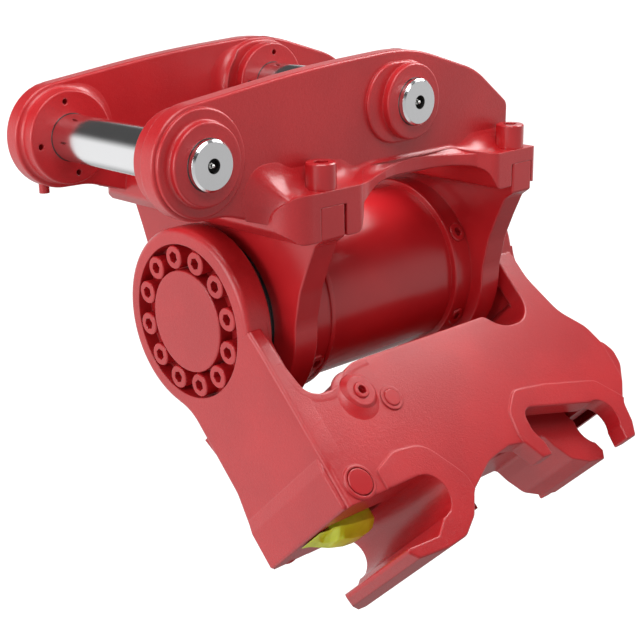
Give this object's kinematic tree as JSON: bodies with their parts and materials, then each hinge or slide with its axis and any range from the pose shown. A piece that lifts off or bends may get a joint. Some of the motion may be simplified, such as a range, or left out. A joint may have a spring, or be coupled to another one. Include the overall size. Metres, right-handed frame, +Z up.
{
  "type": "excavator quick coupler",
  "caption": "Tilting excavator quick coupler: a pin-on bracket over a rotary actuator that swings a body with a spring-latched front jaw and a rear jaw closed by a hook.",
  "frame": {"origin": "centre of the arm pin", "axes": "+Y along the arm pin, +X from the arm pin towards the link pin along the coupler, +Z up"},
  "size_m": [0.8813, 0.6598, 0.8338],
  "materials": {
    "cast_paint": "red paint over a cast surface, half gloss",
    "bolt_paint": "red paint over machined steel, half gloss",
    "latch_paint": "yellow-green paint, half gloss",
    "chrome_pin": "hard chrome, with fine turned end faces",
    "machined_steel": "bare machined steel",
    "zinc": "zinc plated steel",
    "spring_steel": "oiled spring steel",
    "bearing_bronze": "bearing bronze",
    "black_rubber": "black seal rubber"
  },
  "bodies": {
    "upper": {"upper_bracket": "cast_paint", "arm_pin": "chrome_pin", "link_pin": "chrome_pin", "pin_nipples": "zinc", "pin_lock_bolts": "bolt_paint", "pin_lock_nuts": "bolt_paint", "bracket_bolts": "bolt_paint", "actuator_housing": "cast_paint", "housing_plugs": "bolt_paint", "ring_gear": "machined_steel", "front_bearing": "bearing_bronze", "rear_bearing": "bearing_bronze", "front_shaft_seal": "black_rubber", "rear_shaft_seal": "black_rubber"},
    "lower": {"actuator_shaft": "machined_steel", "shaft_end_flange": "machined_steel", "front_hub_disc": "cast_paint", "rear_hub_disc": "cast_paint", "front_ring_bolts": "bolt_paint", "rear_ring_bolts": "bolt_paint", "lower_body": "cast_paint", "latch_pin": "machined_steel", "latch_plugs": "bolt_paint", "latch_spring": "spring_steel", "port_fitting": "bolt_paint", "hose_lug": "cast_paint", "body_nipple": "bolt_paint", "guide_rails": "machined_steel", "rail_screws": "machined_steel", "lock_cylinder_barrel": "cast_paint", "cylinder_gland": "machined_steel", "cylinder_base_pin": "bolt_paint"},
    "piston": {"piston_sleeve": "machined_steel", "piston_seals": "black_rubber"},
    "hook": {"lock_hook": "cast_paint", "lock_rod": "chrome_pin", "lock_piston": "machined_steel", "rod_pin": "machined_steel"},
    "latch": {"front_latch": "latch_paint"}
  },
  "joints": [
    {"name": "tilt", "type": "hinge", "parent": "upper", "child": "lower", "pos_m": [0.4065, 0, -0.2825], "axis": [1, 0, 0], "range_deg": [-15.8, 104.2]},
    {"name": "piston_travel", "type": "slide", "parent": "upper", "child": "piston", "axis": [1, 0, 0], "range_m": [-0.0145, 0.0915]},
    {"name": "hook_slide", "type": "slide", "parent": "lower", "child": "hook", "axis": [1, 0, 0], "range_m": [-0.11, 0]},
    {"name": "latch_pivot", "type": "hinge", "parent": "lower", "child": "latch", "pos_m": [0.137, -0.24819, -0.53772], "axis": [0, -0.7169, 0.6972], "range_deg": [0, 36], "stiffness_Nm_per_rad": 3, "deforming": ["latch_spring"]}
  ],
  "couplings": [
    {"joint": "piston_travel", "follows": "tilt", "m_per_rad": 0.05}
  ]
}
